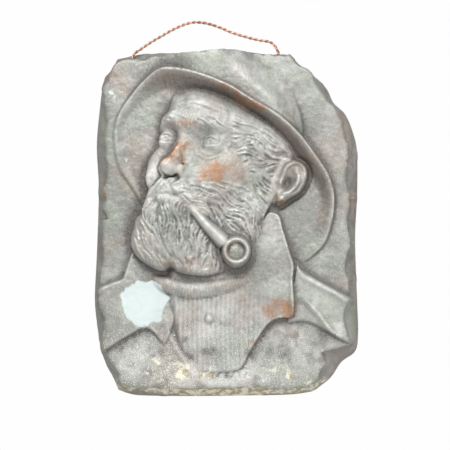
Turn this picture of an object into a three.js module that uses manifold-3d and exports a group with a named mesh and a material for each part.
// Relief wall plaque: a bearded fisherman in a wide-brimmed hat, with a pipe, on an irregular slab,
// and the twisted wire that it hangs by.
//
// Millimetres, +Z up. The wall is the plane y = 0 and the relief faces -Y. The origin is the point
// of the wall that the wire hangs on. All forms are worked out on the plaque's own plane, where x
// runs to the right and z up from the slab's middle, as heights above the slab's face.

import * as THREE from 'three';
import { mergeVertices } from 'three/addons/utils/BufferGeometryUtils.js';
import Module from 'manifold-3d';

// ---------------------------------------------------------------- driving dimensions

const SLAB_THICKNESS = 16;
const WALL_THICKNESS = 4.8;      // of the casting, behind the relief
const BACK_RIM = 8;              // width of the flat rim that lies on the wall
const FRONT_SIZE = [250, 338];   // about, across and upwards
const HOLLOW_MARGIN = 8;         // between the front outline and the hollow's floor
const HOLLOW_CELLS = [22, 28];   // across and upwards
const HANG_POINT = [-29.5, 201.5];
const WIRE_DIAMETER = 3;
const WIRE_HOLE = 4.6;
const WIRE_SIDES = 8;
const WIRE_STEPS = 48;

const GRID_CELLS = 128;          // finest division of the face, each way
const FACE_TOLERANCE = 1.25;     // how far a flat facet may stray from the form
const HEAD_CARE = 1.2;           // how much more closely the head is followed
const FLANK_ROWS = [[0.2, 0.8], [1, 0]];   // [way out, share of the depth]

// The slab's four front edges, from the left and from the top, and its four edges on the wall.
const FRONT_TOP = [[-108.5, 164], [-96.5, 166], [-83.5, 164], [-76.5, 167], [-61.5, 169], [-36.5, 170.5],
  [1.5, 173.5], [18.5, 172.5], [35.5, 170], [63.5, 168]];
const FRONT_RIGHT = [[63.5, 168], [70.5, 160], [83.5, 153.5], [88.5, 144], [97.5, 128], [109.5, 115],
  [115.5, 99], [121.5, 74], [119.5, 52], [123.5, 24], [121, 2], [123.5, -18], [119, -41], [122.5, -60],
  [123.5, -73], [117.5, -86], [117.5, -98], [122.5, -116], [116.5, -122], [96.5, -128], [98.5, -134],
  [99.5, -140], [93.5, -147], [91.5, -154], [81.5, -162]];
const FRONT_BOTTOM = [[-105.5, -160], [-86.5, -163], [-46.5, -165], [3.5, -163], [38.5, -164],
  [58.5, -165], [81.5, -162]];
const FRONT_LEFT = [[-108.5, 164], [-114.5, 156], [-120.5, 140], [-123.5, 132], [-120.5, 109], [-121.5, 94],
  [-120.5, 64], [-119.5, 49], [-123.5, 32], [-121.5, 24], [-123.5, 16], [-118.5, 5], [-123.5, 2],
  [-123.5, -36], [-126.5, -69], [-123.5, -88], [-120.5, -96], [-122.5, -121], [-115.5, -137],
  [-108.5, -146], [-105.5, -160]];
const WALL_TOP = [[-110.5, 167], [-93.5, 170.5], [-76.5, 172.5], [-26.5, 174], [1.5, 175.5], [28.5, 173],
  [64.5, 169.5]];
const WALL_RIGHT = [[64.5, 169.5], [82.5, 154], [100.5, 138.5], [108.5, 123], [120.5, 111], [128.5, 92],
  [132.5, 72], [132.5, 29], [130.5, -16], [132.5, -76], [133.5, -111], [130.5, -129], [116.5, -140],
  [104.5, -157], [86.5, -170]];
const WALL_BOTTOM = [[-109.5, -168], [-96.5, -172.5], [-81.5, -174], [-36.5, -174.5], [13.5, -174],
  [63.5, -173], [86.5, -170]];
const WALL_LEFT = [[-110.5, 167], [-117.5, 154], [-124.5, 144], [-128.5, 116], [-131.5, 79], [-129.5, 34],
  [-131.5, -31], [-133.5, -76], [-130.5, -106], [-125.5, -133], [-115.5, -154], [-109.5, -168]];
// A calm frame inside the edges, between their corners, and how fast the edges' own shape fades inwards.
const CALM_RIGHT = [[104, 122], [121, 70], [123, -20], [120, -90], [108, -130]];
const CALM_LEFT = [[-119, 130], [-123, 60], [-124, -60], [-120, -120]];
const EDGE_FADE = 7;

// Hat. The brim's rim runs from its left end over the top to its right end.
const BRIM_RIM = [[-78.5, 12], [-90.5, 33], [-105.5, 56], [-111, 84], [-107.5, 107], [-93.5, 129],
  [-76.5, 147], [-62.5, 155], [-42.5, 153], [-21.5, 147], [3.5, 136.5], [24.5, 123], [48.5, 109],
  [70.5, 90], [86.5, 70], [100.5, 49], [106.5, 27], [104.5, 4], [96.5, -19], [82.5, -33], [75.5, -37]];
const BRIM_HEIGHTS = [0.5, 1.5, 2, 2.5, 3.5, 5, 9, 12, 14.5, 16.5, 18, 19, 19, 17.5, 15, 11, 7.5, 5.5, 4,
  2, 0.3];
const BRIM_SLOPES = [6, 6, 6, 6, 7, 12, 18, 22, 21, 17, 14, 13, 14, 16, 17, 14, 12, 12, 12, 12, 12];
const CROWN_EDGE = [[16.5, 184], [29.5, 168], [39.5, 159], [54.5, 148], [66.5, 132], [73.5, 116],
  [77, 102], [78.5, 87]];
const CROWN_FOLD = [[13.5, 172], [18.5, 149], [31.5, 136], [48.5, 124], [53.5, 114]];
const CROWN_HEIGHT = 13;
const STEP_WIDTH = 4.5;          // of the slope at the edge of a raised piece of cloth
const HAT_LINE = [[-86.5, 112], [-66.5, 127], [-46.5, 129], [-31.5, 133.5], [-6.5, 128], [23.5, 112],
  [48.5, 94], [66.5, 74], [82.5, 50], [87.5, 32], [87.5, 9]];

// Coat, sweater and collar.
const TORSO = [[-141.5, -70], [-122.5, -60], [-104.5, -53], [-95.5, -26], [-61.5, -11], [33.5, -16],
  [54.5, 9], [60.5, -14], [67.5, -38], [93.5, -55], [125.5, -73], [148.5, -81], [148.5, -191],
  [-146.5, -191]];
const LEFT_LAPEL = [[-134.5, -66], [-122.5, -60], [-114.5, -56], [-104.5, -53.5], [-95.5, -34], [-76.5, -38],
  [-54, -56], [-50, -76], [-51, -96], [-61, -120], [-72.5, -109], [-81.5, -104], [-91.5, -109],
  [-105.5, -117], [-118.5, -125], [-134.5, -132]];
const OPENING_EDGE = [[-61.5, -94], [-54.5, -116], [-41.5, -138], [-33, -152]];
const SHOULDER = [[69.5, -38], [76.5, -47], [93.5, -56], [125.5, -74], [148.5, -88], [148.5, -121],
  [123.5, -119], [110.5, -114], [98.5, -107], [85.5, -100], [73.5, -97.5], [59.5, -97.5], [63.5, -76]];
const SHOULDER_FOLD = [[73.5, -52], [89.5, -60], [107.5, -69], [123.5, -79]];
const SLEEVE_CREASE = [[73.5, -72], [85.5, -83], [95.5, -95], [109.5, -113]];
const COAT_FOLD = [[62.5, -111], [64.5, -128], [66.5, -151]];
const COLLAR_EDGE = [[-93.5, -30], [-99.5, -40], [-102.5, -54]];
const CHEST = [[-68, -57], [-62, -36], [-26.5, -26], [14, -22], [28, -2], [40, 12], [48, 13], [54.5, 8],
  [57.5, -4], [60.5, -14], [64.5, -28], [68.5, -41], [67.5, -56], [68.5, -91], [53.5, -95], [45.5, -98],
  [37.5, -107], [24.5, -129], [17, -144], [5, -149.5], [-18, -150.5], [-36, -146], [-52.5, -124],
  [-60.5, -98], [-66.5, -76]];
const LAPEL_EDGE = [[52.5, 6], [55.5, -4], [58.5, -14], [62, -28], [66, -41], [64.5, -56], [65, -88]];
const ROLL_COLLAR = [[-74.5, -53], [-60.5, -60], [-39.5, -65.5], [-16.5, -64.5], [8.5, -59], [29.5, -51],
  [45.5, -40]];
const ROLL_RADII = [6, 8, 8.5, 8.5, 8, 7, 5];
const ROLL_HEIGHTS = [5, 11.5, 14, 14.5, 13.5, 11.5, 8];
const BUTTON = [-17.5, -94];

// Beard, ear and pipe.
const BEARD = [[-86.5, 9], [-92.5, -4], [-95.5, -18], [-91.5, -30], [-80.5, -40], [-68.5, -46.5],
  [-61, -47], [-55.5, -44.5], [-47.5, -49], [-33.5, -52], [-18.5, -53], [-4.5, -50], [11.5, -46], [25.5, -38],
  [34.5, -24], [37.5, -6], [35.5, 12], [35.5, 34], [-1.5, 44], [-46.5, 34]];
const BEARD_DIP = [[-55, -46], [-53.5, -34], [-50, -22]];
const EAR = [62.5, 41];
const EAR_TILT = 20;
const EAR_PAD = [[-20, -24], [-20, 22], [0, 27], [14, 19], [16, 6], [8, -14], [-4, -28]];
const EAR_SHELL = [[-6, -23], [-11, -12], [-11, 2], [-10, 14], [-4, 22], [5, 24], [13, 19], [16.5, 8],
  [14.5, -5], [7, -15], [1, -24], [-4, -27]];
const EAR_HELIX = [[-9, 3], [-9, 13], [-3, 20.5], [5, 21.5], [11.5, 16.5], [13.5, 7], [11.5, -4], [5.5, -13]];
const EAR_INNER_RIDGE = [[2, 13], [6, 8], [6.5, 0], [3, -8], [-2, -12]];
const PIPE_STEM = [[-43, 25], [-30.5, 11.5], [-18.5, -2], [-4.5, -16]];
const PIPE_STEM_RADII = [3, 4, 5, 6.2];
const PIPE_STEM_HEIGHTS = [26.5, 29.5, 31, 31.5];
const PIPE_BOWL = [9.5, -26];
const PIPE_BOWL_RADIUS = 13;
const PIPE_BOWL_HEIGHT = 31;

// Head: its own frame has the eyes' line as zero height, and is turned and set into the slab.
const HEAD_SCALE = 0.87;
const HEAD_PLACE = [3.5, 61];
const HEAD_YAW = 35;             // towards the left
const HEAD_PITCH = 13;           // chin up
const HEAD_ROLL = 5;             // crown to the right
const HEAD_DEPTH = 0.44;         // relief keeps this share of the depth of its features
const HEAD_FLATTENING = 0.20;    // and takes this share off the depth of the head as a whole
const CHIN_SUNK = 22;            // how far the chin lies behind the beard

// Wire, as seen from the front: x, depth from the wall, z.
const WIRE_ROUTE = [[-83, -9, 144], [-89, -9, 144.5], [-93.5, -9, 149], [-95, -9, 156], [-94.8, -9, 164],
  [-93, -8.5, 171], [-86.5, -8, 176], [-76.5, -7, 183], [-66.5, -6, 189], [-56.5, -5, 195],
  [-46.5, -4, 200], [-36.5, -3, 203.5], [-28.5, -3, 204], [-18.5, -3, 202.5], [-6.5, -4, 198.5],
  [3.5, -5, 194], [13.5, -6, 190.5], [23.5, -7, 187.5], [33.5, -8, 185], [42.5, -8.5, 183.5],
  [47.5, -9, 180.5], [51, -9, 175], [53.5, -9, 168], [54.5, -9, 160], [53.5, -9, 152], [49, -9, 147.5],
  [43, -9, 147]];

// ---------------------------------------------------------------- small helpers

const clamp = (value, low, high) => Math.min(Math.max(value, low), high);
const mix = (from, to, share) => from + (to - from) * share;

function smooth(from, to, value) {
  const t = clamp((value - from) / (to - from), 0, 1);
  return t * t * (3 - 2 * t);
}

function softMin(a, b, reach) {
  const h = Math.max(reach - Math.abs(a - b), 0) / reach;
  return Math.min(a, b) - h * h * reach / 4;
}

const softMax = (a, b, reach) => -softMin(-a, -b, reach);
const bell = (distance, width) => Math.exp(-((distance / width) ** 2));

/** A smooth line through points, as short straight steps. */
function smoothLine(points, closed = false, steps = 6) {
  const count = points.length;
  const line = [];
  const spans = closed ? count : count - 1;
  for (let i = 0; i < spans; i++) {
    const b = points[i];
    const c = points[(i + 1) % count];
    const a = closed || i > 0 ? points[(i - 1 + count) % count] : b.map((v, k) => 2 * v - c[k]);
    const d = closed || i + 2 < count ? points[(i + 2) % count] : c.map((v, k) => 2 * v - b[k]);
    for (let step = 0; step < steps; step++) {
      const t = step / steps;
      line.push(b.map((_, k) => 0.5 * (2 * b[k] + (c[k] - a[k]) * t
        + (2 * a[k] - 5 * b[k] + 4 * c[k] - d[k]) * t * t
        + (3 * b[k] - a[k] - 3 * c[k] + d[k]) * t ** 3)));
    }
  }
  if (!closed) line.push(points[count - 1]);
  return line;
}

/** The nearest place on a line: its distance, how far along it is (0 to 1), and the side it is seen from. */
function nearest(line, x, z, closed = false) {
  const count = closed ? line.length : line.length - 1;
  let best = Infinity;
  let along = 0;
  let side = 0;
  for (let i = 0; i < count; i++) {
    const [ax, az] = line[i];
    const [bx, bz] = line[(i + 1) % line.length];
    const ex = bx - ax;
    const ez = bz - az;
    const t = clamp(((x - ax) * ex + (z - az) * ez) / (ex * ex + ez * ez), 0, 1);
    const distance = Math.hypot(x - ax - t * ex, z - az - t * ez);
    if (distance < best) {
      best = distance;
      along = (i + t) / count;
      side = Math.sign(ex * (z - az) - ez * (x - ax));
    }
  }
  return { distance: best, along, side };
}

function isInside(loop, x, z) {
  let inside = false;
  for (let i = 0, j = loop.length - 1; i < loop.length; j = i++) {
    const [ax, az] = loop[i];
    const [bx, bz] = loop[j];
    if ((az > z) !== (bz > z) && x < ax + (z - az) * (bx - ax) / (bz - az)) inside = !inside;
  }
  return inside;
}

/** How deep a place lies inside a closed line; less than zero outside. */
function depthInside(loop, x, z) {
  const { distance } = nearest(loop, x, z, true);
  return isInside(loop, x, z) ? distance : -distance;
}

/** A value spread evenly along a line, read at a place on it. */
function spread(values, along) {
  const place = clamp(along, 0, 1) * (values.length - 1);
  const i = Math.min(Math.floor(place), values.length - 2);
  return mix(values[i], values[i + 1], place - i);
}

/** A rounded ridge that follows a line. */
function ridge(line, x, z, width, heights) {
  const { distance, along } = nearest(line, x, z);
  return spread(heights, along) * bell(distance, width);
}

// ---------------------------------------------------------------- hat

const rimLine = smoothLine(BRIM_RIM, false, 8);
const crownLine = smoothLine(CROWN_EDGE);
const crownFold = smoothLine(CROWN_FOLD);
const hatLine = smoothLine(HAT_LINE);

function crown(x, z) {
  const { distance, along, side } = nearest(crownLine, x, z);
  const inward = -side * distance;
  const dome = CROWN_HEIGHT * smooth(0, 30, inward) ** 0.8;
  const lowerEdge = 3 * smooth(0, 3, inward) * smooth(0.55, 0.85, along);
  const leftFade = smooth(-66, -22, x + 0.35 * (z - 150));
  const end = smooth(66, 86, z);
  return (dome + lowerEdge) * leftFade * end + ridge(crownFold, x, z, 7, [0.5, 2, 2.4, 2, 0.5]);
}

function hat(x, z, field) {
  const { distance, along } = nearest(rimLine, x, z);
  const inward = isInside(rimLine, x, z) ? distance : -distance;
  const rim = spread(BRIM_HEIGHTS, along);
  if (inward > 0) {
    const dish = 0.6 + 2.6 * smooth(4, 34, inward);
    return mix(rim, dish, smooth(0.6, 0.6 + spread(BRIM_SLOPES, along), inward));
  }
  const around = field + crown(x, z);
  return mix(around, Math.max(rim, around), smooth(-STEP_WIDTH, 0, inward));
}

// ---------------------------------------------------------------- coat, sweater, collar

const leftLapel = smoothLine(LEFT_LAPEL, true, 4);
const shoulder = smoothLine(SHOULDER, true, 4);
const chest = smoothLine(CHEST, true, 4);
const shoulderFold = smoothLine(SHOULDER_FOLD);
const sleeveCrease = smoothLine(SLEEVE_CREASE);
const coatFold = smoothLine(COAT_FOLD);
const collarEdge = smoothLine(COLLAR_EDGE);
const openingEdge = smoothLine(OPENING_EDGE);
const lapelEdge = smoothLine(LAPEL_EDGE);
const rollCollar = smoothLine(ROLL_COLLAR);

function clothes(x, z, field, ground) {
  let height = ground;
  const coat = field + 4 * smooth(0, STEP_WIDTH, depthInside(TORSO, x, z));
  if (isInside(TORSO, x, z)) height = Math.max(height, coat);

  const inShoulder = depthInside(shoulder, x, z);
  if (inShoulder > 0) {
    const folded = field + 7 + 2.5 * smooth(-95, -110, z)
      + ridge(shoulderFold, x, z, 3, [0.5, 1.6, 1.6, 1.2])
      + ridge(sleeveCrease, x, z, 3.5, [1, 3.4, 3.2, 1.6]);
    height = Math.max(height, mix(coat, folded, smooth(0, STEP_WIDTH, inShoulder)));
  }
  height += smooth(-100, -106, z) * smooth(30, 45, x) * ridge(coatFold, x, z, 3.5, [0.8, 1.4, 0.8]);

  const inLapel = depthInside(leftLapel, x, z);
  if (inLapel > 0) {
    const lift = mix(1.2, 7, smooth(-58, -106, z)) * mix(1, 0.4, smooth(-76, -62, x));
    height = Math.max(height, coat + lift * smooth(0, STEP_WIDTH, inLapel));
  }
  height += ridge(collarEdge, x, z, 2.2, [1.6, 1.8, 0.8]);
  height += ridge(openingEdge, x, z, 2.4, [0.6, 1.6, 1.6, 0.8]);

  const inChest = depthInside(chest, x, z);
  if (inChest > 0) {
    const taper = mix(0.4, 1, smooth(-170, -112, z)) * mix(1, 0.6, smooth(-25, 10, z))
      * mix(1, smooth(-48, -14, x), smooth(-118, -142, z));
    const bulge = (9 + 3.5 * smooth(-60, 40, x)) * taper;
    const edge = mix(17, STEP_WIDTH, smooth(-58, -30, x));
    height = Math.max(height, field + bulge * smooth(0, edge, inChest));
  }
  if (inChest > -0.5) height += ridge(lapelEdge, x, z, 2.6, [0.4, 1.4, 1.8]);

  const { distance, along } = nearest(rollCollar, x, z);
  const radius = spread(ROLL_RADII, along);
  if (distance < radius) {
    const fall = 0.8 * radius * (1 - Math.sqrt(1 - (distance / radius) ** 2));
    height = Math.max(height, field + spread(ROLL_HEIGHTS, along) - fall);
  }
  return height + 2 * Math.exp(-((Math.hypot(x - BUTTON[0], z - BUTTON[1]) / 3.4) ** 4));
}

// ---------------------------------------------------------------- head

/** Distances in the head's frame; each place is [to the side, forward, up], the same on both sides. */
function oval([s, f, u], [cs, cf, cu], [rs, rf, ru]) {
  const a = s - cs;
  const b = f - cf;
  const c = u - cu;
  const outer = Math.hypot(a / rs, b / rf, c / ru);
  const slope = Math.hypot(a / rs ** 2, b / rf ** 2, c / ru ** 2);
  return outer * (outer - 1) / Math.max(slope, 1e-6);
}

/** A bent rod through [side, forward, up, radius] places. */
function rod([s, f, u], ...ends) {
  let best = Infinity;
  for (let i = 0; i + 1 < ends.length; i++) {
    const [as, af, au, ar] = ends[i];
    const [bs, bf, bu, br] = ends[i + 1];
    const es = bs - as;
    const ef = bf - af;
    const eu = bu - au;
    const reach = (s - as) * es + (f - af) * ef + (u - au) * eu;
    const t = clamp(reach / (es * es + ef * ef + eu * eu), 0, 1);
    const away = Math.hypot(s - as - t * es, f - af - t * ef, u - au - t * eu);
    best = Math.min(best, away - mix(ar, br, t));
  }
  return best;
}

function skull(p) {
  let d = oval(p, [0, -2, 40], [76, 97, 82]);
  d = softMin(d, oval(p, [0, 42, -20], [56, 54, 80]), 24);
  d = softMin(d, oval(p, [0, -22, -16], [70, 70, 70]), 16);
  d = softMax(d, -oval(p, [95, 50, 20], [20, 36, 28]), 32);
  d = softMax(d, -oval(p, [89, 55, -60], [20, 34, 24]), 28);
  d = softMin(d, oval(p, [37, 67, -29], [19, 17, 14]), 22);
  d = softMin(d, rod(p, [45, 57, -26, 8], [60, 34, -22, 4]), 26);
  const brow = rod(p, [8, 92, 19, 8.5], [24, 91, 23, 8], [38, 83, 22, 6.5], [50, 70, 15, 4], [58, 58, 4, 2]);
  d = softMin(d, brow, 12);
  return softMax(d, -oval(p, [30, 101, 1], [19, 17, 13.5]), 9);
}

function nose(p) {
  let d = rod(p, [0, 86, 8, 7.5], [0, 103, -22, 7.5], [0, 110, -36, 9.5]);
  d = softMin(d, rod(p, [7, 82, 2, 6], [12, 92, -30, 7]), 8);
  d = softMin(d, oval(p, [0, 112, -37], [10.5, 10.5, 9.5]), 5);
  return softMin(d, oval(p, [13.5, 101, -39], [7, 11, 8]), 4);
}

/** An eyeball under its lids, which part in an almond. */
function eye([s, f, u]) {
  const [cs, cf, cu] = [31, 78, 0];
  const radius = Math.hypot(s - cs, f - cf, u - cu);
  const turn = Math.atan2(s - cs, Math.max(f - cf, 1e-3)) / THREE.MathUtils.degToRad(52);
  const rise = THREE.MathUtils.radToDeg(Math.asin(clamp((u - cu) / Math.max(radius, 1e-6), -1, 1)));
  const width = Math.cos(clamp(turn, -1, 1) * Math.PI / 2);
  const open = smooth(-3, 3, Math.min(24 * width - 2 - rise, rise + 13 * width + 2));
  return radius - mix(14.3, 12.6, open);
}

function headSurface(lateral, f, u) {
  const p = [Math.sqrt(lateral * lateral + 1), f, u];
  let d = softMin(skull(p), nose(p), 7);
  d = softMin(d, oval(p, [0, 68, -66], [34, 33, 30]), 14);
  d = softMin(d, oval(p, [33, 77, -46], [17, 18, 16]), 14);
  d = softMax(d, -rod(p, [19, 104, -40, 3], [30, 98, -56, 4], [38, 90, -72, 3]), 8);
  d = softMin(d, eye(p), 2.5);
  d = softMin(d, rod(p, [0, 99, -72.5, 5.5], [12, 97, -71.5, 5], [23, 89, -68, 3]), 3);
  d = softMin(d, rod(p, [0, 100.5, -63, 4.5], [12, 98, -63.5, 4], [24, 89, -67, 2.5]), 3);
  d = softMax(d, -rod(p, [0, 105, -67.5, 1.5], [13, 101.5, -67, 1.5], [27, 91, -67, 1.5]), 2);
  const jaw = rod(p, [66, 6, -30, 8], [60, 14, -60, 11], [46, 34, -88, 15], [24, 56, -104, 18]);
  const moustache = rod(p, [2, 101, -53, 4.5], [12, 100, -57, 8], [26, 91, -65, 9], [38, 79, -82, 9],
    [46, 68, -98, 7]);
  return softMin(softMin(d, jaw, 14), moustache, 5);
}

/** The head's axes in the plaque's x, z and depth towards the viewer. */
const headTurn = (() => {
  const yaw = THREE.MathUtils.degToRad(HEAD_YAW);
  const pitch = THREE.MathUtils.degToRad(HEAD_PITCH);
  const roll = THREE.MathUtils.degToRad(HEAD_ROLL);
  const lean = ([x, z, d]) => [
    Math.cos(roll) * x + Math.sin(roll) * z,
    -Math.sin(roll) * x + Math.cos(roll) * z,
    d,
  ];
  return {
    lateral: lean([Math.cos(yaw), 0, Math.sin(yaw)]),
    forward: lean([-Math.sin(yaw) * Math.cos(pitch), Math.sin(pitch), Math.cos(yaw) * Math.cos(pitch)]),
    up: lean([Math.sin(yaw) * Math.sin(pitch), Math.cos(pitch), -Math.cos(yaw) * Math.sin(pitch)]),
  };
})();

/** Height of the head above the slab's face, found by walking in from the front; null beside it. */
function head(x, z) {
  const place = [(x - HEAD_PLACE[0]) / HEAD_SCALE, (z - HEAD_PLACE[1]) / HEAD_SCALE];
  const along = (axis, depth) => place[0] * axis[0] + place[1] * axis[1] + depth * axis[2];
  let depth = 145;
  for (let step = 0; step < 70 && depth > -35; step++) {
    const gap = headSurface(along(headTurn.lateral, depth), along(headTurn.forward, depth),
      along(headTurn.up, depth));
    if (gap < 0.07) {
      const whole = 75 * Math.max(0, 1 - (x / 88) ** 2 - ((z - 50) / 130) ** 2);
      return HEAD_DEPTH * depth * HEAD_SCALE - HEAD_FLATTENING * whole - 1;
    }
    depth -= Math.max(0.9 * gap, 0.03);
  }
  return null;
}

// ---------------------------------------------------------------- beard, ear, pipe

const beardLine = smoothLine(BEARD, true, 5);
const beardDip = smoothLine(BEARD_DIP);
const earPad = smoothLine(EAR_PAD, true);
const earShell = smoothLine(EAR_SHELL, true);
const earHelix = smoothLine(EAR_HELIX);
const earInnerRidge = smoothLine(EAR_INNER_RIDGE);
const stemLine = smoothLine(PIPE_STEM);

function beard(x, z) {
  const inward = depthInside(beardLine, x, z);
  if (inward <= 0) return null;
  const top = mix(25, 14, smooth(-60, 40, x)) - 3 * smooth(-12, -50, z);
  const edge = clamp(1 - inward / mix(15, 9, smooth(-20, -46, z)), 0, 1);
  return 3 + (top - 3) * Math.sqrt(1 - edge * edge) - ridge(beardDip, x, z, 5, [3, 2, 0]);
}

function ear(x, z, ground) {
  const tilt = THREE.MathUtils.degToRad(EAR_TILT);
  const across = (x - EAR[0]) * Math.cos(tilt) - (z - EAR[1]) * Math.sin(tilt);
  const up = (x - EAR[0]) * Math.sin(tilt) + (z - EAR[1]) * Math.cos(tilt);
  if (Math.hypot(across, up) > 40) return ground;
  const dome = (ca, cu, ra, ru) => Math.exp(-(((across - ca) / ra) ** 2) - ((up - cu) / ru) ** 2);
  const pad = depthInside(earPad, across, up);
  let height = pad > -1 ? softMax(ground, 9 * smooth(-1, 7, pad), 5) : ground;
  const shell = depthInside(earShell, across, up);
  height += 5.5 * smooth(0, 3.2, shell) * mix(0.35, 1, smooth(-12, 4, across));
  const folds = ridge(earHelix, across, up, 2.5, [1.5, 4, 4.4, 4.2, 4, 3.6, 3.4, 2])
    + ridge(earInnerRidge, across, up, 2.6, [1.2, 2.6, 3.2, 3.2, 2.4])
    - 6.5 * dome(-1.5, -1, 5.5, 7.5) + 3.4 * dome(-8.5, -3.5, 3, 4.2) + 3 * dome(-2.5, -19.5, 4.4, 5);
  height += folds * smooth(-1.5, 1, shell);
  if (shell < 1.5) height -= 2.2 * bell(shell + 1.8, 2.2) * smooth(-10, 2, across);
  return height;
}

function pipe(x, z, ground) {
  let height = ground;
  const { distance, along } = nearest(stemLine, x, z);
  const radius = spread(PIPE_STEM_RADII, along);
  if (distance < radius + 1.2) {
    const round = Math.sqrt(Math.max(radius * radius - distance * distance, 0));
    height = Math.max(height, spread(PIPE_STEM_HEIGHTS, along) - radius + round
      - 3 * Math.max(distance - radius, 0));
  }
  const out = Math.hypot(x - PIPE_BOWL[0], z - PIPE_BOWL[1]);
  if (out < PIPE_BOWL_RADIUS) {
    return PIPE_BOWL_HEIGHT + 1.6 * bell(out - 11.2, 1.8) - 5 * smooth(9.4, 7.6, out)
      + 1.4 * smooth(6.5, 0, out);
  }
  const below = clamp((PIPE_BOWL[1] - z) / out, 0, 1);
  const wall = PIPE_BOWL_HEIGHT - (out - PIPE_BOWL_RADIUS) * mix(8, 3.2, below);
  return out < 2 * PIPE_BOWL_RADIUS ? Math.max(height, wall) : height;
}

// ---------------------------------------------------------------- the whole relief

/** Height above the slab's face at a place of the plaque. */
function relief(x, z) {
  const field = 0.5 * Math.sin(x / 31 + 1.3) * Math.cos(z / 43) + 0.4 * Math.sin(z / 27 + x / 60);
  let height = clothes(x, z, field, hat(x, z, field));
  const face = head(x, z);
  const whiskersHeight = beard(x, z);
  let raised = face;
  if (whiskersHeight !== null) {
    const sunk = face === null ? -CHIN_SUNK : face - CHIN_SUNK * smooth(16, -12, z);
    raised = softMax(sunk, whiskersHeight, 12);
  }
  if (raised !== null) {
    const { distance, side } = nearest(hatLine, x, z);
    height = Math.max(height, softMin(raised, 5 - 1.3 * side * distance, 8));
  }
  return pipe(x, z, ear(x, z, height));
}

// ---------------------------------------------------------------- the slab's outline

/** Where an edge has come a given share of its way from one end to the other, along x or along z. */
function edgeAt(line, axis, share) {
  const from = line[0][axis];
  const to = line[line.length - 1][axis];
  const target = mix(from, to, share);
  const forward = Math.sign(to - from);
  for (let i = 0; i + 1 < line.length; i++) {
    const near = line[i][axis];
    const far = line[i + 1][axis];
    if ((far - target) * forward >= 0 && (near - target) * forward <= 0 && far !== near) {
      const t = (target - near) / (far - near);
      return [mix(line[i][0], line[i + 1][0], t), mix(line[i][1], line[i + 1][1], t)];
    }
  }
  return line[line.length - 1];
}

/** The four edges of an outline, each read by the share of its way. */
function edgesOf(top, right, bottom, left) {
  const lines = [top, right, bottom, left].map((edge) => smoothLine(edge));
  return {
    top: (u) => edgeAt(lines[0], 0, u),
    right: (v) => edgeAt(lines[1], 1, 1 - v),
    bottom: (u) => edgeAt(lines[2], 0, u),
    left: (v) => edgeAt(lines[3], 1, 1 - v),
  };
}

/**
 * A patch stretched over the slab: u runs from left to right, v from the bottom up. It follows a calm
 * frame, and what the real edges add to that frame fades out quickly on the way in.
 */
function patchBetween(top, right, bottom, left) {
  const real = edgesOf(top, right, bottom, left);
  const ends = (edge) => [edge[0], edge[edge.length - 1]];
  const calm = edgesOf(
    ends(top),
    [right[0], ...CALM_RIGHT, right[right.length - 1]],
    ends(bottom),
    [left[0], ...CALM_LEFT, left[left.length - 1]],
  );
  const fade = (distance) => (1 - distance) ** EDGE_FADE;
  return (u, v) => [0, 1].map((k) => {
    const across = mix(calm.left(v)[k], calm.right(v)[k], u);
    const upwards = mix(calm.bottom(u)[k], calm.top(u)[k], v);
    const low = mix(bottom[0][k], bottom[bottom.length - 1][k], u);
    const corners = mix(low, mix(top[0][k], top[top.length - 1][k], u), v);
    return across + upwards - corners
      + fade(u) * (real.left(v)[k] - calm.left(v)[k]) + fade(1 - u) * (real.right(v)[k] - calm.right(v)[k])
      + fade(v) * (real.bottom(u)[k] - calm.bottom(u)[k]) + fade(1 - v) * (real.top(u)[k] - calm.top(u)[k]);
  });
}

const frontPatch = patchBetween(FRONT_TOP, FRONT_RIGHT, FRONT_BOTTOM, FRONT_LEFT);
const wallPatch = patchBetween(WALL_TOP, WALL_RIGHT, WALL_BOTTOM, WALL_LEFT);

// ---------------------------------------------------------------- meshes

/** How far the form strays from a straight line between two of its points, at a point midway. */
function strayed(a, b, m, onBorder) {
  const run = Math.hypot(b[0] - a[0], b[2] - a[2]) / 2;
  const steepness = Math.max(Math.abs(a[1] - m[1]), Math.abs(b[1] - m[1])) / run;
  const outOfFlat = Math.abs((a[1] + b[1]) / 2 - m[1]) / Math.hypot(1, steepness);
  const sideways = Math.hypot((a[0] + b[0]) / 2 - m[0], (a[2] + b[2]) / 2 - m[2]);
  const care = HEAD_CARE * smooth(1.25, 1, Math.hypot((m[0] - 5) / 85, (m[2] - 42) / 95));
  return outOfFlat * (1 + care) + sideways * (onBorder ? 1 : 0.4);
}

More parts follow.
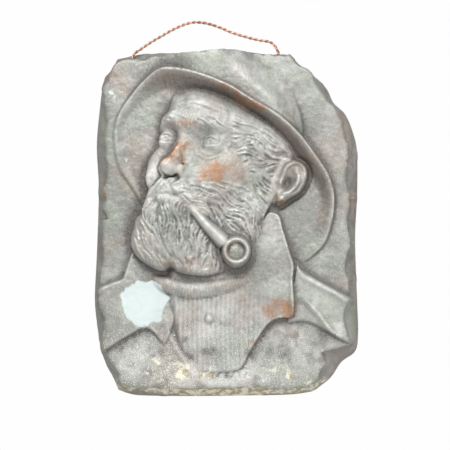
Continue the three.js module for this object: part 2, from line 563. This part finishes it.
/** Splits the square of grid places into right triangles, finest where the form needs it. */
function adaptiveTriangles(cells, pointAt, tolerance) {
  const size = cells + 1;
  const points = new Array(size * size);
  for (let j = 0; j < size; j++) {
    for (let i = 0; i < size; i++) points[j * size + i] = pointAt(i / cells, j / cells);
  }
  const error = new Float32Array(size * size);
  const levels = [[[0, 0, cells, cells, cells, 0], [cells, cells, 0, 0, 0, cells]]];
  const canSplit = ([ax, ay, , , cx, cy]) => Math.abs(ax - cx) + Math.abs(ay - cy) > 1;
  const middle = ([ax, ay, bx, by]) => [(ax + bx) / 2, (ay + by) / 2];
  const halves = ([ax, ay, bx, by, cx, cy]) => {
    const [mx, my] = middle([ax, ay, bx, by]);
    return [[cx, cy, ax, ay, mx, my], [bx, by, cx, cy, mx, my]];
  };
  while (levels[levels.length - 1].some(canSplit)) {
    levels.push(levels[levels.length - 1].flatMap(halves));
  }
  const onBorder = (x, y) => x === 0 || y === 0 || x === cells || y === cells;
  for (const level of levels.reverse()) {
    for (const triangle of level.filter(canSplit)) {
      const [ax, ay, bx, by] = triangle;
      const [mx, my] = middle(triangle);
      const [start, end, between] = [points[ay * size + ax], points[by * size + bx], points[my * size + mx]];
      let worst = strayed(start, end, between, onBorder(mx, my));
      for (const half of halves(triangle).filter(canSplit)) {
        const [hx, hy] = middle(half);
        worst = Math.max(worst, error[hy * size + hx]);
      }
      error[my * size + mx] = Math.max(error[my * size + mx], worst);
    }
  }
  const triangles = [];
  const border = [];
  const visit = (triangle) => {
    const [mx, my] = middle(triangle);
    if (canSplit(triangle) && error[my * size + mx] > tolerance) {
      halves(triangle).forEach(visit);
      return;
    }
    const [ax, ay, bx, by, cx, cy] = triangle;
    triangles.push([points[ay * size + ax], points[cy * size + cx], points[by * size + bx]]);
    for (const [x, y] of [[ax, ay], [bx, by], [cx, cy]]) if (onBorder(x, y)) border.push(y * size + x);
  };
  visit([0, 0, cells, cells, cells, 0]);
  visit([cells, cells, 0, 0, 0, cells]);
  const around = (index) => {
    const x = index % size;
    const y = Math.floor(index / size);
    if (y === 0) return x;
    if (x === cells) return cells + y;
    return y === cells ? 3 * cells - x : 4 * cells - y;
  };
  const ring = [...new Set(border)].sort((p, q) => around(p) - around(q));
  return { triangles, ring: ring.map((index) => [(index % size) / cells, Math.floor(index / size) / cells]) };
}

function meshOf(triangles) {
  const geometry = new THREE.BufferGeometry();
  geometry.setAttribute('position', new THREE.Float32BufferAttribute(triangles.flat(2), 3));
  return mergeVertices(geometry, 1e-3);
}

/** Joins rings of equal length into bands, the first ring being the one in front. */
function bands(rings) {
  const triangles = [];
  for (let row = 0; row + 1 < rings.length; row++) {
    const count = rings[row].length;
    for (let i = 0; i < count; i++) {
      const j = (i + 1) % count;
      triangles.push([rings[row][i], rings[row + 1][i], rings[row][j]]);
      triangles.push([rings[row][j], rings[row + 1][i], rings[row + 1][j]]);
    }
  }
  return triangles;
}

/** Closes a ring on a flat plane with a fan about its middle. */
function fan(ring, centre) {
  return ring.map((point, i) => [point, centre, ring[(i + 1) % ring.length]]);
}

/** The casting as if it were solid: face, flank and flat back. */
function castingBody() {
  const face = (u, v) => {
    const [x, z] = frontPatch(u, v);
    return [x, -SLAB_THICKNESS - relief(x, z), z];
  };
  const { triangles, ring } = adaptiveTriangles(GRID_CELLS, face, FACE_TOLERANCE);
  const front = ring.map(([u, v]) => face(u, v));
  const wall = ring.map(([u, v]) => wallPatch(u, v));
  const rings = [front, ...FLANK_ROWS.map(([out, share]) => front.map(([x, y, z], i) => [
    mix(x, wall[i][0], out), y * share, mix(z, wall[i][1], out),
  ]))];
  return [...triangles, ...bands(rings), ...fan(rings[rings.length - 1], [0, 0, 0])];
}

/** The lowest relief round about a place, so that the wall behind it stays thick enough. */
function lowestNearby(x, z) {
  let lowest = relief(x, z);
  for (const radius of [4, 8]) {
    for (let turn = 0; turn < 12; turn++) {
      const angle = turn * Math.PI / 6;
      lowest = Math.min(lowest, relief(x + radius * Math.cos(angle), z + radius * Math.sin(angle)));
    }
  }
  return lowest;
}

/** The hollow behind the casting, which follows the relief roughly. */
function hollowCore() {
  const [columns, rows] = HOLLOW_CELLS;
  const inset = (patch, u, v, margin) => {
    const [across, upwards] = FRONT_SIZE.map((size) => margin / size);
    return patch(mix(across, 1 - across, u), mix(upwards, 1 - upwards, v));
  };
  const bottomAt = (i, j) => {
    const [x, z] = inset(frontPatch, i / columns, j / rows, HOLLOW_MARGIN);
    const depth = SLAB_THICKNESS + Math.max(0, lowestNearby(x, z)) - WALL_THICKNESS;
    return [x, -depth, z];
  };
  const grid = [];
  for (let j = 0; j <= rows; j++) {
    grid.push(Array.from({ length: columns + 1 }, (_, i) => bottomAt(i, j)));
  }
  const triangles = [];
  for (let j = 0; j < rows; j++) {
    for (let i = 0; i < columns; i++) {
      triangles.push([grid[j][i], grid[j][i + 1], grid[j + 1][i + 1]]);
      triangles.push([grid[j][i], grid[j + 1][i + 1], grid[j + 1][i]]);
    }
  }
  const places = [];
  for (let i = 0; i < columns; i++) places.push([i, 0]);
  for (let j = 0; j < rows; j++) places.push([columns, j]);
  for (let i = columns; i > 0; i--) places.push([i, rows]);
  for (let j = rows; j > 0; j--) places.push([0, j]);
  const deep = places.map(([i, j]) => grid[j][i]);
  const mouth = places.map(([i, j]) => {
    const [x, z] = inset(wallPatch, i / columns, j / rows, BACK_RIM);
    return [x, 1, z];
  });
  return [...triangles, ...bands([deep, mouth]), ...fan(mouth, [0, 1, 0])];
}

/** A tube of flat sides that follows the wire. */
function wireTube(diameter, steps) {
  const route = new THREE.CatmullRomCurve3(WIRE_ROUTE.map((place) => new THREE.Vector3(...place)));
  const corners = Array.from({ length: WIRE_SIDES }, (_, side) => {
    const angle = (side + 0.5) * 2 * Math.PI / WIRE_SIDES;
    return new THREE.Vector2(diameter / 2 * Math.cos(angle), diameter / 2 * Math.sin(angle));
  });
  const section = new THREE.Shape(corners);
  return new THREE.ExtrudeGeometry(section, { steps, bevelEnabled: false, extrudePath: route });
}

const wasm = await Module();
wasm.setup();

function toSolid(geometry) {
  const position = geometry.getAttribute('position').array;
  const mesh = new wasm.Mesh({
    numProp: 3,
    vertProperties: Float32Array.from(position),
    triVerts: Uint32Array.from(geometry.index.array),
  });
  return new wasm.Manifold(mesh);
}

function fromSolid(solid) {
  const mesh = solid.getMesh();
  const geometry = new THREE.BufferGeometry();
  geometry.setAttribute('position', new THREE.BufferAttribute(mesh.vertProperties, 3));
  geometry.setIndex(new THREE.BufferAttribute(mesh.triVerts, 1));
  return geometry;
}

function reliefPlaque() {
  const holes = wireTube(WIRE_HOLE, WIRE_STEPS);
  holes.deleteAttribute('normal');
  holes.deleteAttribute('uv');
  const casting = toSolid(meshOf(castingBody()))
    .subtract(toSolid(meshOf(hollowCore())))
    .subtract(toSolid(mergeVertices(holes, 1e-3)));
  const geometry = fromSolid(casting);
  geometry.computeVertexNormals();
  const bronze = new THREE.MeshStandardMaterial({ color: 0x8f8a80, roughness: 0.45, metalness: 0.8 });
  const mesh = new THREE.Mesh(geometry, bronze);
  mesh.name = 'relief_plaque';
  return mesh;
}

function hangingWire() {
  const geometry = wireTube(WIRE_DIAMETER, WIRE_STEPS);
  const copper = new THREE.MeshStandardMaterial({ color: 0xc08a6a, roughness: 0.4, metalness: 0.9 });
  const mesh = new THREE.Mesh(geometry, copper);
  mesh.name = 'hanging_wire';
  return mesh;
}

const plaque = new THREE.Group();
plaque.add(reliefPlaque(), hangingWire());
plaque.position.set(-HANG_POINT[0], 0, -HANG_POINT[1]);

export default plaque;
